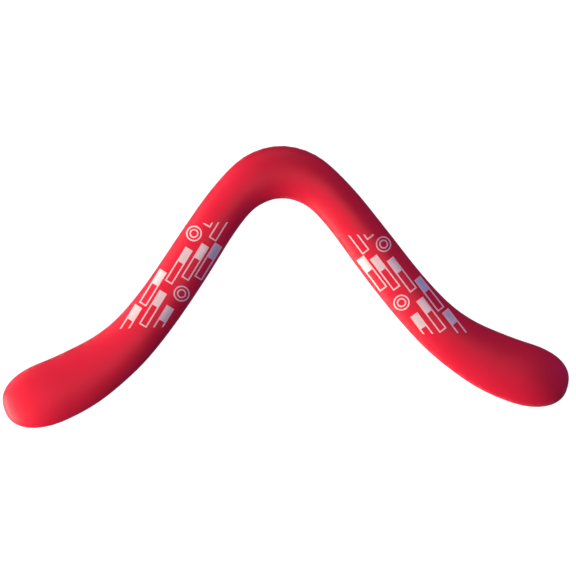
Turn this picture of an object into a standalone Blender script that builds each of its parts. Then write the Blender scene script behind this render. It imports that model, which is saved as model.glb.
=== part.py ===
"""A returning boomerang for a right-handed thrower, moulded in soft foam around a stiff core.

The blade is a wide V. Its upper half carries the domed wing section and its lower half the
flat underside. A flat spine lies in a pocket between them, and pegs of the lower half pass
through its holes into sockets of the upper half. Each arm carries a printed pattern of bars
and rings, in a white ink and a silver ink.

Metres, +Z up. The origin is on the flat underside, at the middle of the blade's bounding box.
+X runs from the left tip to the right tip, and +Y from the tips towards the elbow.
"""

import math

import bmesh
import bpy
import numpy as np
from mathutils import Matrix, Vector

MM = 0.001
MERGE = 0.01 * MM  # points closer than this are one point

# Plan of one arm, which the other arm mirrors: distance from the elbow along the middle of
# the arm (mm), how far the arm points below +X there (degrees), and its full width (mm).
ARM = (
    (0, 0, 31.0),
    (14, 26, 29.5),
    (28, 43, 26.5),
    (48, 53, 26.0),
    (76, 55, 27.0),
    (106, 52, 27.5),
    (127, 47, 28.5),
    (148, 36.5, 31.0),
    (170, 28, 35.0),
    (190, 20, 36.5),
    (220, 15, 36.5),
)
ARM_LENGTH = 218.0 * MM
TIP_START = 187.0 * MM  # where the end of the arm starts to round off
TIP_POWER = 2.4  # 2 is an elliptical end, and more is squarer
ELBOW_Y = 63.9 * MM

# Wing section.
THICKNESS = 12.0 * MM
PARTING_Z = 3.8 * MM
PARTING_GAP = 0.3 * MM
LOWER_EDGE_RADIUS = 3.4 * MM
DOME_POWER = 0.6  # 0.5 is an elliptical dome, and 1 is a parabola
PEAK_OFFSET = 0.15  # of the half width, towards the leading edge
PEAK_CROSSING = 45.0 * MM  # the peak changes sides within this distance of the elbow

# Core.
SPINE_WIDTH = 12.0 * MM
SPINE_THICKNESS = 2.0 * MM
SPINE_REACH = 188.0 * MM
CORE_CLEARANCE = 0.3 * MM
PEG_RADIUS = 3.0 * MM
PEG_TOP_RADIUS = 2.6 * MM
PEG_RISE = 1.4 * MM  # above the spine
PEG_PLACES = (0, 55 * MM, 110 * MM, 165 * MM)

# Printed pattern, in each arm's own frame: x across the arm towards its inner edge, and y
# along the arm towards its tip, from the middle of the second ring target.
PRINT_TILTS = {"left": math.radians(33.6), "right": math.radians(35.0)}  # of the pattern's y from -Y
PRINT_PLACES = {"left": Vector((-59.8, -5.1)) * MM, "right": Vector((67.5, -15.1)) * MM}
BAR_WIDTH = 4.9 * MM
BAR_LENGTH = 22.9 * MM
FILL_LENGTH = 9.4 * MM
LINE = 0.8 * MM
INK_GAP = 0.15 * MM
FILM_RISE = 0.3 * MM
FILM_THICKNESS = 0.25 * MM
BARS = (  # middle of the bar across the arm, and its upper end, in mm
    (3.4, -35.3),
    (-2.8, -31.1),
    (-9.8, -24.4),
    (-16.0, -5.8),
    (-9.4, 4.6),
    (-1.4, 9.9),
    (-17.4, 19.0),
)
OPEN_BAR = (-1.2, -35.9)  # middle across the arm, and its lower end, in mm
CORNER_BAR = (-8.3, -40.9)
TARGETS = ((-12.1, -33.4), (0, 0))
RING_RADII = (4.2 * MM, 2.25 * MM)  # at the middle of the line
PRINT_ABOVE = 40.3 * MM  # the pattern is cut off level, this far above the second target
PRINT_BELOW = 18.8 * MM

PLAN_STEPS = 26  # from the elbow to where the end rounds off
TIP_STEPS = 7
DOME_STEPS = 16
EDGE_STEPS = 4
CURVE_STEP = 4.0 * MM


def along_arm(distance, column):
    """The arm's direction (column 1) or width (column 2) there, on a smooth curve through ARM."""
    table = np.array(ARM, float)
    places, values = table[:, 0] * MM, table[:, column]
    slopes = np.gradient(values, places)
    i = int(np.clip(np.searchsorted(places, distance) - 1, 0, len(places) - 2))
    span = places[i + 1] - places[i]
    t = (distance - places[i]) / span
    return float(
        values[i] * (2 * t**3 - 3 * t**2 + 1)
        + values[i + 1] * (3 * t**2 - 2 * t**3)
        + slopes[i] * span * (t**3 - 2 * t**2 + t)
        + slopes[i + 1] * span * (t**3 - t**2)
    )


def middle(distance, steps=220):
    """The point at that distance along the middle of the right arm, and the arm's direction."""
    point = Vector((0, ELBOW_Y))
    for k in range(steps):
        angle = -math.radians(along_arm((k + 0.5) / steps * distance, 1))
        point += Vector((math.cos(angle), math.sin(angle))) * distance / steps
    angle = -math.radians(along_arm(distance, 1))
    return point, Vector((math.cos(angle), math.sin(angle)))


def rib(side, place, inset):
    """The middle, the outward direction and the half width of a rib on the right (1) or left (-1) arm.

    place runs from 0 at the elbow to 1 where the end rounds off, and on to 2 at the tip.
    """
    reach = max(place - 1, 0)
    distance = min(place, 1) * TIP_START + reach * (ARM_LENGTH - inset - TIP_START)
    point, direction = middle(distance)
    outward = Vector((-direction.y, direction.x))
    half = along_arm(distance, 2) * MM / 2 - inset
    half *= max(1 - reach**TIP_POWER, 0) ** (1 / TIP_POWER)
    return Vector((side * point.x, point.y)), Vector((side * outward.x, outward.y)), half


def rib_places():
    """(side, place) of every rib, from the left tip to the right tip."""
    straight = [k / PLAN_STEPS for k in range(PLAN_STEPS)]
    tip = [1 + math.sin(k / TIP_STEPS * math.pi / 2) for k in range(TIP_STEPS + 1)]
    arm = straight + tip
    return [(-1, place) for place in reversed(arm[1:])] + [(1, place) for place in arm]


def peak_side(side, place):
    """From -1 on the left arm, where the inner edge leads, to 1 on the right arm."""
    turn = min(place * TIP_START / PEAK_CROSSING, 1)
    return side * math.sin(turn * math.pi / 2)


def upper_rib(side, place):
    """The closed outline of the upper half at a rib: its dome, and its ends on the parting plane."""
    point, outward, half = rib(side, place, 0)
    reach = max(place - 1, 0)
    peak = PEAK_OFFSET * peak_side(side, place) * half
    base = PARTING_Z + PARTING_GAP
    outline = []
    for k in range(DOME_STEPS + 1):
        t = -math.cos(k / DOME_STEPS * math.pi)
        across = t * half + peak * (1 - t**2)
        fall = max((1 - reach**2) * (1 - t**2), 0) ** DOME_POWER
        outline.append((*(point + outward * across), base + (THICKNESS - base) * fall))
    return outline


def lower_rib(side, place):
    """The closed outline of the lower half at a rib: parting plane, rounded edge, flat underside."""
    rows = []
    for k in range(EDGE_STEPS + 1):
        turn = k / EDGE_STEPS * math.pi / 2
        rows.append((LOWER_EDGE_RADIUS * (1 - math.cos(turn)), LOWER_EDGE_RADIUS * (1 - math.sin(turn))))
    rows = [(0, PARTING_Z)] + rows
    outer, inner = [], []
    for inset, z in rows:
        point, outward, half = rib(side, place, inset)
        outer.append((*(point + outward * half), z))
        inner.append((*(point - outward * half), z))
    return outer + inner[::-1]


def material(name, colour, roughness, metallic=0.0):
    made = bpy.data.materials.new(name)
    made.use_nodes = True
    shader = made.node_tree.nodes["Principled BSDF"]
    shader.inputs["Base Color"].default_value = (*colour, 1)
    shader.inputs["Roughness"].default_value = roughness
    shader.inputs["Metallic"].default_value = metallic
    return made


def add_object(name, mesh, collection, finish=None):
    made = bpy.data.objects.new(name, mesh)
    collection.objects.link(made)
    if finish:
        mesh.materials.append(finish)
    return made


def loft(name, outlines, collection, finish):
    """A closed body through the ribs' outlines, which shrink to an edge or a point at both tips."""
    bm = bmesh.new()
    loops = [[bm.verts.new(co) for co in outline] for outline in outlines]
    for a, b in zip(loops, loops[1:]):
        for k in range(len(a)):
            n = (k + 1) % len(a)
            bm.faces.new((a[k], a[n], b[n], b[k]))
    bmesh.ops.remove_doubles(bm, verts=bm.verts, dist=MERGE)
    bmesh.ops.dissolve_degenerate(bm, edges=bm.edges, dist=MERGE)
    bmesh.ops.recalc_face_normals(bm, faces=bm.faces)
    mesh = bpy.data.meshes.new(name)
    bm.to_mesh(mesh)
    bm.free()
    mesh.shade_smooth()
    mesh.set_sharp_from_angle(angle=math.radians(50))
    return add_object(name, mesh, collection, finish)


def band(name, width, reach, bottom, top, collection, finish=None):
    """A flat strip along the middle of both arms, with round ends, as a mesh object."""
    steps = round(reach / CURVE_STEP)
    distances = [k / steps * reach for k in range(-steps, steps + 1)]
    outer, inner = [], []
    for distance in distances:
        side = 1 if distance >= 0 else -1
        point, direction = middle(abs(distance))
        point = Vector((side * point.x, point.y))
        outward = Vector((-side * direction.y, direction.x))
        outer.append(point + outward * width / 2)
        inner.append(point - outward * width / 2)

    def end(first, last, turns=6):
        centre, arm = (first + last) / 2, (first - last) / 2
        angles = [math.pi * k / turns for k in range(1, turns)]
        return [centre + Matrix.Rotation(-angle, 2) @ arm for angle in angles]

    outline = outer + end(outer[-1], inner[-1]) + inner[::-1] + end(inner[0], outer[0])
    curve = bpy.data.curves.new(name, "CURVE")
    curve.dimensions = "2D"
    curve.fill_mode = "BOTH"
    curve.extrude = (top - bottom) / 2
    spline = curve.splines.new("POLY")
    spline.points.add(len(outline) - 1)
    for corner, place in zip(spline.points, outline):
        corner.co = (place.x, place.y, 0, 1)
    spline.use_cyclic_u = True
    drawn = add_object(name + "_outline", curve, collection)
    drawn.location.z = (bottom + top) / 2
    return curve_to_mesh(drawn, name, collection, finish)


def curve_to_mesh(drawn, name, collection, finish):
    bpy.context.view_layer.update()
    mesh = bpy.data.meshes.new_from_object(drawn.evaluated_get(bpy.context.evaluated_depsgraph_get()))
    mesh.name = name
    bm = bmesh.new()
    bm.from_mesh(mesh)
    bmesh.ops.remove_doubles(bm, verts=bm.verts, dist=MERGE)
    bmesh.ops.recalc_face_normals(bm, faces=bm.faces)
    bm.to_mesh(mesh)
    bm.free()
    made = add_object(name, mesh, collection, finish)
    made.matrix_world = drawn.matrix_world
    bpy.data.objects.remove(drawn)
    return made


def pins(name, bottom, top, base_radius, top_radius, collection):
    """A row of round pins down both arms, as one mesh object."""
    bm = bmesh.new()
    places = [-place for place in PEG_PLACES[:0:-1]] + list(PEG_PLACES)
    for place in places:
        point, _ = middle(abs(place))
        centre = (math.copysign(point.x, place), point.y, (bottom + top) / 2)
        bmesh.ops.create_cone(
            bm,
            cap_ends=True,
            segments=20,
            radius1=base_radius,
            radius2=top_radius,
            depth=top - bottom,
            matrix=Matrix.Translation(centre),
        )
    mesh = bpy.data.meshes.new(name)
    bm.to_mesh(mesh)
    bm.free()
    return add_object(name, mesh, collection)


def cut(body, cutter, operation="DIFFERENCE"):
    boolean = body.modifiers.new(cutter.name, "BOOLEAN")
    boolean.object = cutter
    boolean.operation = operation
    cutter.hide_render = True
    cutter.display_type = "WIRE"


def build_core_and_foam(parts, cutters, foam, plastic):
    spine_low = PARTING_Z + PARTING_GAP / 2 - SPINE_THICKNESS / 2
    spine_high = spine_low + SPINE_THICKNESS
    pocket_width = SPINE_WIDTH + 2 * CORE_CLEARANCE
    hole_radius = PEG_RADIUS + CORE_CLEARANCE
    floor = spine_low - CORE_CLEARANCE
    ceiling = spine_high + CORE_CLEARANCE

    spine = band("core_spine", SPINE_WIDTH, SPINE_REACH, spine_low, spine_high, parts, plastic)
    holes = pins("peg_holes", spine_low - MM, spine_high + MM, hole_radius, hole_radius, cutters)
    cut(spine, holes)

    ribs = rib_places()
    lower = loft("lower_foam", [lower_rib(*at) for at in ribs], parts, foam)
    lower_pocket = band("lower_pocket", pocket_width, SPINE_REACH, floor, PARTING_Z + MM, cutters)
    cut(lower, lower_pocket)
    peg_top = spine_high + PEG_RISE
    pegs = pins("pegs", floor - MM / 2, peg_top, PEG_RADIUS, PEG_TOP_RADIUS, cutters)
    cut(lower, pegs, "UNION")

    upper = loft("upper_foam", [upper_rib(*at) for at in ribs], parts, foam)
    upper_pocket = band("upper_pocket", pocket_width, SPINE_REACH, PARTING_Z - MM, ceiling, cutters)
    cut(upper, upper_pocket)
    socket_top = peg_top + CORE_CLEARANCE
    sockets = pins("peg_sockets", PARTING_Z - MM, socket_top, hole_radius, hole_radius, cutters)
    cut(upper, sockets)
    return upper


def grid_lines(*stops, step=CURVE_STEP):
    """The stops, with more lines between any two that lie further apart than the step."""
    lines = [stops[0]]
    for a, b in zip(stops, stops[1:]):
        count = max(1, math.ceil((b - a) / step - 0.01))
        lines += [a + (b - a) * k / count for k in range(1, count + 1)]
    return lines


def flat_patch(xs, ys, window=None):
    """A flat grid of faces on those lines, without the faces whose middle is inside the window."""
    bm = bmesh.new()
    rows = [[bm.verts.new((x, y, 0)) for x in xs] for y in ys]
    for low, high, y0, y1 in zip(rows, rows[1:], ys, ys[1:]):
        for k in range(len(xs) - 1):
            x, y = (xs[k] + xs[k + 1]) / 2, (y0 + y1) / 2
            if window and window[0] < x < window[1] and window[2] < y < window[3]:
                continue
            bm.faces.new((low[k], low[k + 1], high[k + 1], high[k]))
    loose = [v for v in bm.verts if not v.link_faces]
    bmesh.ops.delete(bm, geom=loose, context="VERTS")
    return bm


def bar_frame(middle_x, top_y):
    left, right = middle_x - BAR_WIDTH / 2, middle_x + BAR_WIDTH / 2
    bottom_y = top_y + BAR_LENGTH
    xs = grid_lines(left, left + LINE, middle_x, right - LINE, right)
    ys = grid_lines(top_y, top_y + LINE, bottom_y - LINE, bottom_y)
    return flat_patch(xs, ys, (left + LINE, right - LINE, top_y + LINE, bottom_y - LINE))


def bar_fill(middle_x, top_y):
    half = BAR_WIDTH / 2 - LINE - INK_GAP
    xs = grid_lines(middle_x - half, middle_x, middle_x + half)
    ys = grid_lines(top_y + LINE + INK_GAP, top_y + FILL_LENGTH)
    return flat_patch(xs, ys)


def ring(centre_x, centre_y, radius, segments=20):
    bm = bmesh.new()
    inner = bm.verts.new((radius - LINE / 2, 0, 0))
    outer = bm.verts.new((radius + LINE / 2, 0, 0))
    edge = bm.edges.new((inner, outer))
    bmesh.ops.spin(
        bm,
        geom=[inner, outer, edge],
        axis=(0, 0, 1),
        cent=(0, 0, 0),
        angle=2 * math.pi,
        steps=segments,
        use_merge=True,
    )
    bmesh.ops.remove_doubles(bm, verts=bm.verts, dist=MERGE)
    bmesh.ops.translate(bm, verts=bm.verts, vec=(centre_x, centre_y, 0))
    return bm


def lay_print(name, bm, arm, upper, collection, ink):
    """Places a flat piece of print on an arm, cuts it off level, and lays it on the dome as a film."""
    inner = 1 if arm == "left" else -1
    sin, cos = math.sin(PRINT_TILTS[arm]), math.cos(PRINT_TILTS[arm])
    place = PRINT_PLACES[arm]
    to_arm = Matrix(
        (
            (inner * cos, -inner * sin, 0, place.x),
            (-sin, -cos, 0, place.y),
            (0, 0, 1, THICKNESS + MM),
            (0, 0, 0, 1),
        )
    )
    bmesh.ops.transform(bm, matrix=to_arm, verts=bm.verts)
    for level, facing in ((place.y + PRINT_ABOVE, 1), (place.y - PRINT_BELOW, -1)):
        bmesh.ops.bisect_plane(
            bm,
            geom=bm.verts[:] + bm.edges[:] + bm.faces[:],
            plane_co=(0, level, 0),
            plane_no=(0, facing, 0),
            clear_outer=True,
        )
    for face in bm.faces:
        face.normal_update()
        if face.normal.z < 0:
            face.normal_flip()
    mesh = bpy.data.meshes.new(name)
    bm.to_mesh(mesh)
    bm.free()
    film = add_object(f"{arm}_{name}", mesh, collection, ink)
    wrap = film.modifiers.new("lie_on_dome", "SHRINKWRAP")
    wrap.target = upper
    wrap.wrap_method = "PROJECT"
    wrap.use_project_z = True
    wrap.use_negative_direction = True
    wrap.use_positive_direction = False
    wrap.offset = FILM_RISE
    thicken = film.modifiers.new("thickness", "SOLIDIFY")
    thicken.thickness = FILM_THICKNESS
    thicken.offset = 1
    return film


def build_print(arm, upper, collection, white, silver):
    for number, (x, y) in enumerate(BARS, 1):
        lay_print(f"bar_outline_{number}", bar_frame(x * MM, y * MM), arm, upper, collection, white)
        lay_print(f"bar_fill_{number}", bar_fill(x * MM, y * MM), arm, upper, collection, silver)
    for name, (x, y) in (("open_bar", OPEN_BAR), ("corner_bar", CORNER_BAR)):
        lay_print(name, bar_frame(x * MM, y * MM - BAR_LENGTH), arm, upper, collection, white)
    for number, (x, y) in enumerate(TARGETS, 1):
        for label, radius in zip(("outer", "inner"), RING_RADII):
            circle = ring(x * MM, y * MM, radius)
            lay_print(f"target_{number}_{label}_ring", circle, arm, upper, collection, white)


for old in list(bpy.data.objects):
    bpy.data.objects.remove(old)
boomerang = bpy.data.collections.new("boomerang")
cutting = bpy.data.collections.new("cutters")
bpy.context.scene.collection.children.link(boomerang)
bpy.context.scene.collection.children.link(cutting)

red_foam = material("red_foam", (0.71, 0.012, 0.03), 0.55)
core_plastic = material("core_plastic", (0.8, 0.79, 0.76), 0.5)
white_ink = material("white_ink", (0.9, 0.84, 0.84), 0.45)
silver_ink = material("silver_ink", (0.62, 0.6, 0.62), 0.35, 0.6)

upper_foam = build_core_and_foam(boomerang, cutting, red_foam, core_plastic)
for arm_name in PRINT_PLACES:
    build_print(arm_name, upper_foam, boomerang, white_ink, silver_ink)
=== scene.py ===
import math

import bmesh
import bpy
import numpy as np
from mathutils import Matrix, Vector


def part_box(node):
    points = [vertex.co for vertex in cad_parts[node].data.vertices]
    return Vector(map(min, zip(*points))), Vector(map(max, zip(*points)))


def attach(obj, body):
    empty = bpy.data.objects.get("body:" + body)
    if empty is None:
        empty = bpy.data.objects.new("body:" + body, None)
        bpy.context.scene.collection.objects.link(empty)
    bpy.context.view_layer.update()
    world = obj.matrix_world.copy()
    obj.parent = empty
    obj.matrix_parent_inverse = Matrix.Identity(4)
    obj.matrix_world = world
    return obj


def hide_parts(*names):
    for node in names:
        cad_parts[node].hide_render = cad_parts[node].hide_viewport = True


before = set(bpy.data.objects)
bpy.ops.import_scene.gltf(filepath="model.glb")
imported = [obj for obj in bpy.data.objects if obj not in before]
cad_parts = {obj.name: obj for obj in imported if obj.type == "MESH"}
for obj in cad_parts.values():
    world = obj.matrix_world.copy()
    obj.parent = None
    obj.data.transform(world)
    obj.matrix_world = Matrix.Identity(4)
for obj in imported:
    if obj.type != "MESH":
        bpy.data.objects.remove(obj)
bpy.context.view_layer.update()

# ---------------------------------------------------------------- upper foam half
# The domed half of the blade: soft polyurethane foam, moulded with its own red skin. A block
# is cut into slices and strips, and pressed to the wing section along both bent arms.
MM = 0.001
ARM = (  # distance from the elbow in mm, degrees below +X, full width in mm
    (0, 0, 31.0),
    (14, 26, 29.5),
    (28, 43, 26.5),
    (48, 53, 26.0),
    (76, 55, 27.0),
    (106, 52, 27.5),
    (127, 47, 28.5),
    (148, 36.5, 31.0),
    (170, 28, 35.0),
    (190, 20, 36.5),
    (220, 15, 36.5),
)
ARM_LENGTH = 218.0 * MM
ARM_STEPS = 2000  # in which an arm's bend is added up
TIP_START = 187.0 * MM  # where the end of the arm starts to round off
TIP_POWER = 2.4  # 2 is an elliptical end, and more is squarer
TIP_SHARE = 0.13  # of a block's slices
UPPER_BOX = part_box("upper_foam")
ELBOW_Y = UPPER_BOX[1].y - ARM[0][2] * MM / 2
BLADE_TOP = UPPER_BOX[1].z
PARTING = 3.95 * MM  # height of the joint between the halves
JOINT_GAP = 0.04 * MM
LEVEL = 0.001 * MM  # points whose heights differ by less lie in one plane
RIM = 0.25 * MM  # height of the upper half's wall, below the dome
DOME_POWER = 0.6  # 0.5 is an elliptical dome, and 1 is a parabola
PEAK_OFFSET = 0.15  # of the half width, towards the leading edge
PEAK_CROSSING = 45.0 * MM  # the peak changes sides within this distance of the elbow
WEAR_AND_SHEEN_FADE = 8  # how tightly the pale rim marks (rubbed wear and painted sheen) keep to the rim; more keeps them closer


def along_arm(distances, column):
    """The arm's direction (column 1) or width (column 2) at those distances."""
    table = np.array(ARM, float)
    places, values = table[:, 0] * MM, table[:, column]
    slopes = np.gradient(values, places)
    i = np.clip(np.searchsorted(places, distances) - 1, 0, len(places) - 2)
    span = places[i + 1] - places[i]
    t = (distances - places[i]) / span
    return (
        values[i] * (2 * t**3 - 3 * t**2 + 1)
        + values[i + 1] * (3 * t**2 - 2 * t**3)
        + slopes[i] * span * (t**3 - 2 * t**2 + t)
        + slopes[i + 1] * span * (t**3 - t**2)
    )


def arm_middle(distances):
    """The points at those distances along the middle of the right arm."""
    steps = np.linspace(0, ARM_LENGTH, ARM_STEPS + 1)
    angles = -np.radians(along_arm((steps[1:] + steps[:-1]) / 2, 1))
    run = np.diff(steps)
    x = np.interp(distances, steps, np.r_[0, np.cumsum(np.cos(angles) * run)])
    y = np.interp(distances, steps, np.r_[0, np.cumsum(np.sin(angles) * run)])
    return x, ELBOW_Y + y


def foam_block(name, slices=330, strips=44):
    """A block two units each way, cut across into slices and along into strips."""
    bpy.ops.object.select_all(action="DESELECT")
    bpy.ops.mesh.primitive_cube_add(size=2)
    block = bpy.context.object
    block.name = block.data.name = name
    bpy.ops.object.mode_set(mode="EDIT")
    bpy.ops.mesh.select_mode(type="EDGE")
    for axis, cuts in ((0, slices), (1, strips)):
        bpy.ops.mesh.select_all(action="DESELECT")
        bm = bmesh.from_edit_mesh(block.data)
        for edge in bm.edges:
            a, b = edge.verts
            edge.select = abs(a.co[axis] - b.co[axis]) > 1
        bpy.ops.mesh.subdivide(number_cuts=cuts)
    bpy.ops.object.mode_set(mode="OBJECT")
    return block


def press(block, top, bottom):
    """Bends the block along both arms. top and bottom give a height for each point of that face,
    from how far out it is (0 on the ridge, 1 on the outline) and the arm's half width there."""
    co = np.zeros(len(block.data.vertices) * 3)
    block.data.vertices.foreach_get("co", co)
    co = co.reshape(-1, 3)
    side = np.where(co[:, 0] < 0, -1.0, 1.0)
    length = np.abs(co[:, 0]) / (1 - TIP_SHARE)
    x = np.sin(np.clip((length - 1) * (1 - TIP_SHARE) / TIP_SHARE, 0, 1) * np.pi / 2)
    y = np.sin(co[:, 1] * np.pi / 2)
    u, v = x * np.sqrt(1 - y**2 / 2), y * np.sqrt(1 - x**2 / 2)
    out = np.sqrt(u**2 + v**2)
    square = np.maximum(u**TIP_POWER + np.abs(v) ** TIP_POWER, 1e-12) ** (1 / TIP_POWER)
    swell = np.where(out > 1e-6, out / square, 1)
    distance = np.clip(length, 0, 1) * TIP_START + u * swell * (ARM_LENGTH - TIP_START)
    half = along_arm(distance, 2) * MM / 2
    turn = np.clip(distance / PEAK_CROSSING, 0, 1)
    skew = PEAK_OFFSET * side * np.sin(turn * np.pi / 2) * (1 - out**2)
    across = half * (v * swell + skew)
    mid_x, mid_y = arm_middle(distance)
    angle = -np.radians(along_arm(distance, 1))
    up = co[:, 2] > 0
    co[:, 0] = side * (mid_x - across * np.sin(angle))
    co[:, 1] = mid_y + across * np.cos(angle)
    co[:, 2] = np.where(up, top(out, half), bottom(out, half))
    block.data.vertices.foreach_set("co", co.ravel())
    # The rim weight drives the skin's pale marks, which are rubbed wear and a painted sheen.
    rim = block.data.attributes.new("rim", "FLOAT", "POINT")
    rim.data.foreach_set("value", (out**WEAR_AND_SHEEN_FADE).astype(np.float32))
    block.data.update()


def finish_foam(block, height):
    """Breaks the sharp edge that runs round the block at that height, and shades it smooth."""
    bpy.ops.object.select_all(action="DESELECT")
    block.select_set(True)
    bpy.context.view_layer.objects.active = block
    bpy.ops.object.mode_set(mode="EDIT")
    bpy.ops.mesh.select_mode(type="EDGE")
    bpy.ops.mesh.select_all(action="DESELECT")
    bm = bmesh.from_edit_mesh(block.data)
    for edge in bm.edges:
        flat = [face for face in edge.link_faces if abs(face.normal.z) > 0.999]
        level = all(abs(vert.co.z - height) < LEVEL for vert in edge.verts)
        edge.select = level and len(flat) == 1
    bpy.ops.mesh.bevel(offset=RIM / 2, segments=2, affect="EDGES", clamp_overlap=True)
    bpy.ops.object.mode_set(mode="OBJECT")
    block.data.shade_smooth()


def dome(out, half):
    base = PARTING + RIM
    return base + (BLADE_TOP - base) * np.maximum(1 - out**2, 0) ** DOME_POWER


def upper_joint(out, half):
    return np.full_like(out, PARTING + JOINT_GAP / 2)


red = bpy.data.materials.new("red_foam_skin")
red.use_nodes = True
nodes, links = red.node_tree.nodes, red.node_tree.links
skin = nodes["Principled BSDF"]
skin.inputs["Roughness"].default_value = 0.47
skin.inputs["Specular IOR Level"].default_value = 0.22
skin.inputs["Sheen Weight"].default_value = 0.3
skin.inputs["Sheen Roughness"].default_value = 0.14
skin.inputs["Sheen Tint"].default_value = (1, 0.8, 0.85, 1)
place = nodes.new("ShaderNodeTexCoord")
mottle = nodes.new("ShaderNodeTexNoise")
mottle.inputs["Scale"].default_value = 45
mottle.inputs["Detail"].default_value = 3
shade = nodes.new("ShaderNodeValToRGB")
shade.color_ramp.elements[0].position = 0.3
shade.color_ramp.elements[0].color = (0.71, 0.0098, 0.038, 1)
shade.color_ramp.elements[1].position = 0.7
shade.color_ramp.elements[1].color = (0.76, 0.0142, 0.048, 1)
grain = nodes.new("ShaderNodeTexNoise")
grain.inputs["Scale"].default_value = 1900
grain.inputs["Detail"].default_value = 2
bump = nodes.new("ShaderNodeBump")
bump.inputs["Strength"].default_value = 0.25
bump.inputs["Distance"].default_value = 0.08 * MM
links.new(place.outputs["Object"], mottle.inputs["Vector"])
links.new(place.outputs["Object"], grain.inputs["Vector"])
links.new(mottle.outputs["Fac"], shade.inputs["Fac"])
links.new(grain.outputs["Fac"], bump.inputs["Height"])
links.new(bump.outputs["Normal"], skin.inputs["Normal"])

# Handling rubs the skin paler in small marks along the rim, and the same pale marks also paint a sheen
# on the rim's curve.
rim = nodes.new("ShaderNodeAttribute")
rim.attribute_name = "rim"
scuff_and_sheen_noise = nodes.new("ShaderNodeTexNoise")
scuff_and_sheen_noise.inputs["Scale"].default_value = 260
scuff_and_sheen_noise.inputs["Detail"].default_value = 5
rubbed_and_sheen = nodes.new("ShaderNodeMath")
rubbed_and_sheen.operation = "MULTIPLY"
wear_and_sheen_ramp = nodes.new("ShaderNodeValToRGB")
wear_and_sheen_ramp.color_ramp.elements[0].position = 0.25
wear_and_sheen_ramp.color_ramp.elements[1].position = 0.6
wear_and_sheen_ramp.color_ramp.elements[1].color = (0.28, 0.28, 0.28, 1)
# Mixes the skin towards pale pink at the rim: rubbed wear, and a painted sheen.
worn_and_sheen = nodes.new("ShaderNodeMix")
worn_and_sheen.data_type = "RGBA"
worn_and_sheen.inputs["B"].default_value = (0.85, 0.22, 0.28, 1)
links.new(place.outputs["Object"], scuff_and_sheen_noise.inputs["Vector"])
links.new(scuff_and_sheen_noise.outputs["Fac"], rubbed_and_sheen.inputs[0])
links.new(rim.outputs["Fac"], rubbed_and_sheen.inputs[1])
links.new(rubbed_and_sheen.outputs["Value"], wear_and_sheen_ramp.inputs["Fac"])
links.new(wear_and_sheen_ramp.outputs["Color"], worn_and_sheen.inputs["Factor"])
links.new(shade.outputs["Color"], worn_and_sheen.inputs["A"])
links.new(worn_and_sheen.outputs["Result"], skin.inputs["Base Color"])

upper = foam_block("upper_foam_skin")
press(upper, dome, upper_joint)
finish_foam(upper, PARTING + JOINT_GAP / 2)
upper.data.materials.append(red)
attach(upper, "root")
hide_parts("upper_foam")

# ---------------------------------------------------------------- lower foam half
# The same foam and skin, with the flat underside. Its lower edge is rounded all the way
# round, and it is bonded to the upper half along a fine joint line.
EDGE_RADIUS = 3.4 * MM


def lower_joint(out, half):
    return np.full_like(out, PARTING - JOINT_GAP / 2)


def underside(out, half):
    inset = np.minimum((1 - out) * half, EDGE_RADIUS)
    return EDGE_RADIUS - np.sqrt(np.maximum(EDGE_RADIUS**2 - (EDGE_RADIUS - inset) ** 2, 0))


lower = foam_block("lower_foam_skin")
press(lower, lower_joint, underside)
finish_foam(lower, PARTING - JOINT_GAP / 2)
lower.data.materials.append(red)
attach(lower, "root")
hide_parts("lower_foam")

# ---------------------------------------------------------------- core spine
# A flat strip of natural polypropylene, die cut with holes. It lies in a pocket between the
# foam halves, and pegs of the lower half pass through its holes into sockets of the upper.
CLEARANCE = 0.3 * MM
PEG_RADIUS = 3.0 * MM
PEG_TOP_RADIUS = 2.6 * MM
PEG_RISE = 1.4 * MM
PEG_ROOT = 3.0 * MM  # the pegs start here, inside the lower half
PEG_PLACES = (0, 55 * MM, 110 * MM, 165 * MM)  # along each arm, from the elbow
MERGE = 0.01 * MM  # points of the spine closer than this are one point
SLIVER = 0.04 * MM  # the cuts leave faces narrower than this along the joint
SHARP_ANGLE = math.radians(40)
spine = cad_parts["core_spine"]
peg_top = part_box("core_spine")[1].z + PEG_RISE


def peg_row(name, bottom, top, base_radius, top_radius):
    """A row of round pegs down both arms, with their tops rounded over, as one object."""
    pegs = []
    for distance in [-place for place in PEG_PLACES[:0:-1]] + list(PEG_PLACES):
        bpy.ops.object.select_all(action="DESELECT")
        x, y = arm_middle(abs(distance))
        bpy.ops.mesh.primitive_cone_add(
            vertices=40,
            radius1=base_radius,
            radius2=top_radius,
            depth=top - bottom,
            location=(math.copysign(x, distance), y, (bottom + top) / 2),
        )
        peg = bpy.context.object
        bpy.ops.object.mode_set(mode="EDIT")
        bpy.ops.mesh.select_mode(type="EDGE")
        bpy.ops.mesh.select_all(action="DESELECT")
        bm = bmesh.from_edit_mesh(peg.data)
        for edge in bm.edges:
            edge.select = all(vert.co.z > 0 for vert in edge.verts)
        bpy.ops.mesh.bevel(offset=CLEARANCE, segments=3, affect="EDGES")
        bpy.ops.object.mode_set(mode="OBJECT")
        pegs.append(peg)
    for peg in pegs:
        peg.select_set(True)
    bpy.ops.object.join()
    row = bpy.context.object
    row.name = name
    bpy.ops.object.transform_apply(location=True, rotation=True, scale=True)
    return row


def cut(block, cutter, operation="DIFFERENCE"):
    bpy.ops.object.select_all(action="DESELECT")
    bpy.context.view_layer.objects.active = block
    boolean = block.modifiers.new(cutter.name, "BOOLEAN")
    boolean.operation = operation
    boolean.object = cutter
    bpy.ops.object.modifier_apply(modifier=boolean.name)


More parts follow.
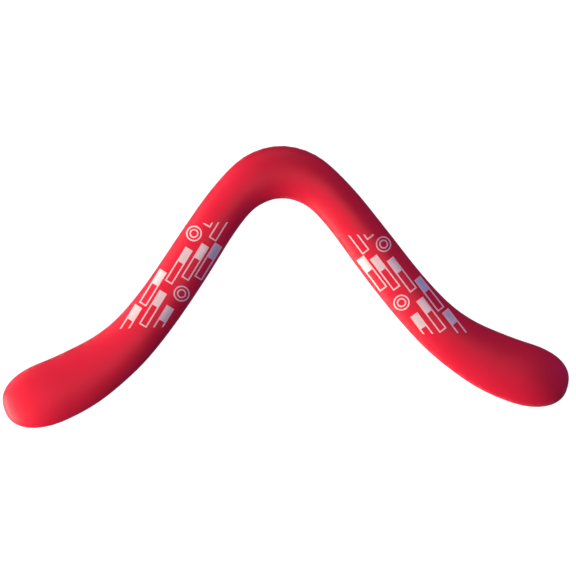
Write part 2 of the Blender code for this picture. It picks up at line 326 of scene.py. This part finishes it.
bpy.ops.object.select_all(action="DESELECT")
room = bpy.data.objects.new("spine_and_glue", spine.data.copy())
bpy.context.scene.collection.objects.link(room)
room.select_set(True)
bpy.context.view_layer.objects.active = room
bpy.ops.object.mode_set(mode="EDIT")
bpy.ops.mesh.select_all(action="SELECT")
bpy.ops.mesh.remove_doubles(threshold=MERGE)
bpy.ops.transform.shrink_fatten(value=CLEARANCE, use_even_offset=True)
bpy.ops.object.mode_set(mode="OBJECT")
pegs = peg_row("pegs", PEG_ROOT, peg_top, PEG_RADIUS, PEG_TOP_RADIUS)
hole_radius = PEG_RADIUS + CLEARANCE
sockets = peg_row("peg_sockets", PEG_ROOT, peg_top + CLEARANCE, hole_radius, hole_radius)
cut(lower, room)
cut(lower, pegs, "UNION")
cut(upper, room)
cut(upper, sockets)
for block, joint in ((lower, PARTING - JOINT_GAP / 2), (upper, PARTING + JOINT_GAP / 2)):
    bpy.ops.object.select_all(action="DESELECT")
    bpy.context.view_layer.objects.active = block
    bpy.ops.object.mode_set(mode="EDIT")
    bpy.ops.mesh.select_mode(type="VERT")
    bpy.ops.mesh.select_all(action="DESELECT")
    for vert in bmesh.from_edit_mesh(block.data).verts:
        vert.select = abs(vert.co.z - joint) < LEVEL
    bpy.ops.mesh.remove_doubles(threshold=SLIVER)
    bpy.ops.object.mode_set(mode="OBJECT")
    block.data.set_sharp_from_angle(angle=SHARP_ANGLE)
for helper in (room, pegs, sockets):
    bpy.data.objects.remove(helper)

plastic = bpy.data.materials.new("natural_polypropylene")
plastic.use_nodes = True
nodes, links = plastic.node_tree.nodes, plastic.node_tree.links
resin = nodes["Principled BSDF"]
resin.inputs["Roughness"].default_value = 0.45
place = nodes.new("ShaderNodeTexCoord")
cloud = nodes.new("ShaderNodeTexNoise")
cloud.inputs["Scale"].default_value = 120
milk = nodes.new("ShaderNodeValToRGB")
milk.color_ramp.elements[0].color = (0.74, 0.73, 0.7, 1)
milk.color_ramp.elements[1].color = (0.84, 0.83, 0.8, 1)
links.new(place.outputs["Object"], cloud.inputs["Vector"])
links.new(cloud.outputs["Fac"], milk.inputs["Fac"])
links.new(milk.outputs["Color"], resin.inputs["Base Color"])
spine.data.materials.clear()
spine.data.materials.append(plastic)

# ---------------------------------------------------------------- printed bars
# Seven narrow bars on each arm, printed in white as an outline, with a silver fill in the upper
# part of each. Each ink is a thin film that is laid on the foam's skin through a fine screen.
PRINT_TILTS = {"left": math.radians(33.6), "right": math.radians(35.0)}
PRINT_PLACES = {"left": Vector((-59.8, -5.1, 0)) * MM, "right": Vector((67.5, -15.1, 0)) * MM}
BAR_WIDTH = 4.9 * MM
BAR_LENGTH = 22.9 * MM
FILL_LENGTH = 9.4 * MM
LINE = 0.8 * MM
INK_THICKNESS = 0.1 * MM
INK_STEP = 1.2 * MM  # the length of film that follows the dome as one flat face
CUT_ABOVE = 40.3 * MM
CUT_BELOW = 18.8 * MM
BARS = (  # the middle of each bar's upper end, in mm across and along the pattern
    (3.4, -35.3),
    (-2.8, -31.1),
    (-9.8, -24.4),
    (-16.0, -5.8),
    (-9.4, 4.6),
    (-1.4, 9.9),
    (-17.4, 19.0),
)
UP = Vector((0, 0, 1))


def print_axes(arm):
    """The pattern's directions across the arm, towards its inner edge, and along it, towards its tip."""
    inner = 1 if arm == "left" else -1
    sin, cos = math.sin(PRINT_TILTS[arm]), math.cos(PRINT_TILTS[arm])
    return Vector((inner * cos, -sin, 0)), Vector((-inner * sin, -cos, 0))


def on_arm(arm, x, y):
    """The point at that place across and along the pattern."""
    across, along = print_axes(arm)
    return PRINT_PLACES[arm] + across * x + along * y


def slit(point, normal, cut_off=False):
    """Slits the sheet in a straight line through the point, and may drop what lies beyond it."""
    bpy.ops.mesh.select_all(action="SELECT")
    bpy.ops.mesh.bisect(plane_co=point, plane_no=normal, clear_outer=cut_off)


def trim_level(arm):
    """The pattern ends level above and below, whatever it cuts through."""
    middle = PRINT_PLACES[arm]
    slit(middle + Vector((0, CUT_ABOVE, 0)), (0, 1, 0), True)
    slit(middle - Vector((0, CUT_BELOW, 0)), (0, -1, 0), True)


def lay_ink(film, name, node, ink):
    """Lays a flat film on the dome, gives it its thickness, and puts it in place of its node."""
    film.name = film.data.name = name
    bpy.ops.object.select_all(action="DESELECT")
    film.select_set(True)
    bpy.context.view_layer.objects.active = film
    wrap = film.modifiers.new("wrap", "SHRINKWRAP")
    wrap.target = upper
    wrap.wrap_method = "PROJECT"
    wrap.use_project_z = True
    wrap.use_negative_direction = True
    wrap.use_positive_direction = False
    bpy.ops.object.modifier_apply(modifier=wrap.name)
    coat = film.modifiers.new("coat", "SOLIDIFY")
    coat.thickness = INK_THICKNESS
    coat.offset = 0
    bpy.ops.object.modifier_apply(modifier=coat.name)
    film.data.materials.clear()
    film.data.materials.append(ink)
    film.data.shade_smooth()
    film.data.set_sharp_from_angle(angle=SHARP_ANGLE)
    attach(film, "root")
    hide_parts(node)


def bar_sheet(arm, middle, top):
    """A flat bar over the dome, slit where its line ends and every step between, in edit mode."""
    across, along = print_axes(arm)
    bpy.ops.object.select_all(action="DESELECT")
    centre = on_arm(arm, middle, top + BAR_LENGTH / 2) + UP * (BLADE_TOP + MM)
    angle = math.atan2(across.y, across.x)
    bpy.ops.mesh.primitive_plane_add(size=1, location=centre, rotation=(0, 0, angle))
    sheet = bpy.context.object
    sheet.scale = (BAR_WIDTH, BAR_LENGTH, 1)
    bpy.ops.object.transform_apply(location=True, rotation=True, scale=True)
    bpy.ops.object.mode_set(mode="EDIT")
    window = BAR_WIDTH / 2 - LINE  # half the width inside the line
    for x in (-window, -window / 2, 0, window / 2, window):
        slit(on_arm(arm, middle + x, top), across)
    steps = round(BAR_LENGTH / INK_STEP)
    between = [BAR_LENGTH * step / steps for step in range(2, steps - 1)]
    for y in [LINE, FILL_LENGTH, BAR_LENGTH - LINE] + between:
        slit(on_arm(arm, middle, top + y), along)
    return sheet


def inside(arm, point, middle, low, high):
    """Whether a point is within a bar's line, and between two places along the pattern."""
    across, along = print_axes(arm)
    place = point - PRINT_PLACES[arm]
    return abs(place @ across - middle) < BAR_WIDTH / 2 - LINE and low < place @ along < high


def select_faces(sheet, chosen):
    """Selects the faces of a flat sheet whose middles are chosen, and nothing else."""
    bpy.ops.mesh.select_mode(type="FACE")
    bpy.ops.mesh.select_all(action="DESELECT")
    bm = bmesh.from_edit_mesh(sheet.data)
    for face in bm.faces:
        centre = face.calc_center_median()
        face.select = chosen(Vector((centre.x, centre.y, 0)))
    bmesh.update_edit_mesh(sheet.data)


def ink_material(name, colours, roughness, metallic, grain_scale):
    """An ink, slightly uneven where the foam's skin shows through it."""
    ink = bpy.data.materials.new(name)
    ink.use_nodes = True
    nodes, links = ink.node_tree.nodes, ink.node_tree.links
    shader = nodes["Principled BSDF"]
    shader.inputs["Roughness"].default_value = roughness
    shader.inputs["Metallic"].default_value = metallic
    place = nodes.new("ShaderNodeTexCoord")
    noise = nodes.new("ShaderNodeTexNoise")
    noise.inputs["Scale"].default_value = grain_scale
    noise.inputs["Detail"].default_value = 4
    ramp = nodes.new("ShaderNodeValToRGB")
    ramp.color_ramp.elements[0].position = 0.35
    ramp.color_ramp.elements[0].color = (*colours[0], 1)
    ramp.color_ramp.elements[1].position = 0.6
    ramp.color_ramp.elements[1].color = (*colours[1], 1)
    bump = nodes.new("ShaderNodeBump")
    bump.inputs["Strength"].default_value = 0.2
    bump.inputs["Distance"].default_value = 0.05 * MM
    links.new(place.outputs["Object"], noise.inputs["Vector"])
    links.new(noise.outputs["Fac"], ramp.inputs["Fac"])
    links.new(ramp.outputs["Color"], shader.inputs["Base Color"])
    links.new(noise.outputs["Fac"], bump.inputs["Height"])
    links.new(bump.outputs["Normal"], shader.inputs["Normal"])
    return ink


white_ink = ink_material("white_ink", ((0.9, 0.52, 0.55), (0.97, 0.64, 0.65)), 0.45, 0.0, 1400)
silver_ink = ink_material("silver_ink", ((0.74, 0.59, 0.61), (0.88, 0.73, 0.75)), 0.52, 0.5, 2200)
nodes, links = silver_ink.node_tree.nodes, silver_ink.node_tree.links
flakes = nodes["Noise Texture"]
mesh_marks = nodes.new("ShaderNodeTexWave")  # left by the screen that the ink is pushed through
mesh_marks.bands_direction = "DIAGONAL"
mesh_marks.inputs["Scale"].default_value = 450
mesh_marks.inputs["Distortion"].default_value = 1.5
both = nodes.new("ShaderNodeMix")
both.inputs["Factor"].default_value = 0.3
links.new(nodes["Texture Coordinate"].outputs["Object"], mesh_marks.inputs["Vector"])
links.new(flakes.outputs["Fac"], both.inputs["A"])
links.new(mesh_marks.outputs["Fac"], both.inputs["B"])
links.new(both.outputs["Result"], nodes["Color Ramp"].inputs["Fac"])

for arm in PRINT_PLACES:
    for number, (x, y) in enumerate(BARS, 1):
        middle, top = x * MM, y * MM
        outline = bar_sheet(arm, middle, top)
        window = (middle, top + FILL_LENGTH, top + BAR_LENGTH - LINE)
        select_faces(outline, lambda point: inside(arm, point, *window))
        bpy.ops.mesh.delete(type="FACE")
        trim_level(arm)
        filled = (middle, top + LINE, top + FILL_LENGTH)
        select_faces(outline, lambda point: inside(arm, point, *filled))
        bpy.ops.mesh.separate(type="SELECTED")
        bpy.ops.object.mode_set(mode="OBJECT")
        fill = [o for o in bpy.context.selected_objects if o != outline][0]
        node = f"{arm}_bar_outline_{number}"
        lay_ink(outline, f"{arm}_bar_line_{number}", node, white_ink)
        node = f"{arm}_bar_fill_{number}"
        lay_ink(fill, f"{arm}_bar_silver_{number}", node, silver_ink)

# ---------------------------------------------------------------- cut-off bars
# Two more white outlines at the pattern's upper edge, which the level cut leaves as an open
# bar and a corner. Each is placed by its lower end, because its upper end is cut away.
CUT_BARS = {"open_bar": (-1.2, -35.9), "corner_bar": (-8.3, -40.9)}
for arm in PRINT_PLACES:
    for label, (x, y) in CUT_BARS.items():
        middle, top = x * MM, y * MM - BAR_LENGTH
        outline = bar_sheet(arm, middle, top)
        window = (middle, top + LINE, top + BAR_LENGTH - LINE)
        select_faces(outline, lambda point: inside(arm, point, *window))
        bpy.ops.mesh.delete(type="FACE")
        trim_level(arm)
        bpy.ops.object.mode_set(mode="OBJECT")
        lay_ink(outline, f"{arm}_{label}_line", f"{arm}_{label}", white_ink)

# ---------------------------------------------------------------- ring targets
# Two targets on each arm, each of two concentric rings. They are printed with the same white
# ink, and in the same pass, as the outlines of the bars.
TARGETS = ((-12.1, -33.4), (0, 0))  # in mm across and along the pattern
RINGS = {"outer": 4.2 * MM, "inner": 2.25 * MM}  # radius at the middle of the line
for arm in PRINT_PLACES:
    for number, (x, y) in enumerate(TARGETS, 1):
        for label, radius in RINGS.items():
            bpy.ops.object.select_all(action="DESELECT")
            centre = on_arm(arm, x * MM, y * MM) + UP * (BLADE_TOP + MM)
            bpy.ops.mesh.primitive_circle_add(vertices=64, radius=radius - LINE / 2, location=centre)
            ring = bpy.context.object
            bpy.ops.object.transform_apply(location=True, rotation=True, scale=True)
            bpy.ops.object.mode_set(mode="EDIT")
            for reach in (radius, radius + LINE / 2):
                grow = reach / (reach - LINE / 2)
                bpy.ops.mesh.extrude_edges_move()
                bpy.ops.transform.resize(value=(grow, grow, 1), center_override=centre)
            bpy.ops.mesh.select_all(action="SELECT")
            bpy.ops.mesh.normals_make_consistent(inside=False)
            bpy.ops.object.mode_set(mode="OBJECT")
            if ring.data.polygons[0].normal.z < 0:
                ring.data.flip_normals()
            node = f"{arm}_target_{number}_{label}_ring"
            lay_ink(ring, f"{arm}_target_{number}_{label}_line", node, white_ink)

# ---------------------------------------------------------------- floor, light and camera
# The blade lies on a plain white table in a white room. Warm lamps stand low on its left, with
# weak ones above it and behind it, and a little blue daylight comes from the right.
TABLE_SIZE = 6
WALL_HEIGHT = 6
WALL_RADIUS = 2.9  # just inside the table's edges
bpy.ops.object.select_all(action="DESELECT")
bpy.ops.mesh.primitive_plane_add(size=TABLE_SIZE, location=(0, 0, -CLEARANCE))
floor = bpy.context.object
floor.name = "table"
paper = bpy.data.materials.new("white_table")
paper.use_nodes = True
card = paper.node_tree.nodes["Principled BSDF"]
card.inputs["Base Color"].default_value = (0.25, 0.25, 0.25, 1)
card.inputs["Roughness"].default_value = 0.9
card.inputs["Emission Color"].default_value = (1, 1, 1, 1)
card.inputs["Emission Strength"].default_value = 0.97
bpy.ops.object.select_all(action="DESELECT")
bpy.ops.mesh.primitive_cylinder_add(
    vertices=96, radius=WALL_RADIUS, depth=WALL_HEIGHT, end_fill_type="NOTHING"
)
wall = bpy.context.object
wall.name = "wall"
wall.data.shade_smooth()
wall.visible_shadow = False
for surface in (floor, wall):
    surface.data.materials.append(paper)
    surface.visible_diffuse = False
    surface.visible_glossy = False


def area_lamp(name, place, target, size, power, colour):
    lamp = bpy.data.lights.new(name, "AREA")
    lamp.shape = "DISK"
    lamp.size = size
    lamp.energy = power
    lamp.color = colour
    holder = bpy.data.objects.new(name, lamp)
    bpy.context.scene.collection.objects.link(holder)
    holder.location = place
    holder.rotation_euler = (Vector(target) - Vector(place)).to_track_quat("-Z", "Y").to_euler()


area_lamp("left_front", (-0.86, -0.5, 0.105), (0, 0, 0), 0.5, 14, (1, 0.82, 0.64))
area_lamp("left", (-0.98, -0.17, 0.105), (0, 0, 0), 0.5, 13, (1, 0.78, 0.62))
area_lamp("left_back", (-0.86, 0.5, 0.105), (0, 0, 0), 0.5, 5, (1, 0.85, 0.72))
area_lamp("above", (0, 0, 1.0), (0, 0, 0), 0.6, 2.5, (1, 0.74, 0.64))
area_lamp("back", (0, 0.9, 0.42), (0, 0, 0), 0.5, 1.4, (1, 0.72, 0.7))
area_lamp("right", (0.9, 0.1, 0.3), (0, 0, 0), 0.5, 1.4, (0.04, 0.06, 1))
world = bpy.data.worlds.new("room")
world.use_nodes = True
world.node_tree.nodes["Background"].inputs["Color"].default_value = (0.3, 0.46, 0.85, 1)
world.node_tree.nodes["Background"].inputs["Strength"].default_value = 0.26
bpy.context.scene.world = world
bpy.context.scene.view_settings.view_transform = "Standard"

CAMERA_DISTANCE = 0.8
LENS = 85.7
AIM = Vector((2.0, -4.05, 5)) * MM
ROLL = math.radians(2.2)
YAW = math.radians(2.57)
PITCH = math.radians(1.15)
camera = bpy.data.objects.new("camera", bpy.data.cameras.new("camera"))
bpy.context.scene.collection.objects.link(camera)
camera.data.lens = LENS
camera.data.sensor_width = 36
back = Vector((-math.sin(YAW) * math.cos(PITCH), -math.sin(PITCH), math.cos(YAW) * math.cos(PITCH)))
right = Vector((math.sin(ROLL), math.cos(ROLL), 0)).cross(back).normalized()
top = back.cross(right)
camera.location = AIM + back * CAMERA_DISTANCE
camera.rotation_euler = Matrix((right, top, back)).transposed().to_euler()
bpy.context.scene.camera = camera
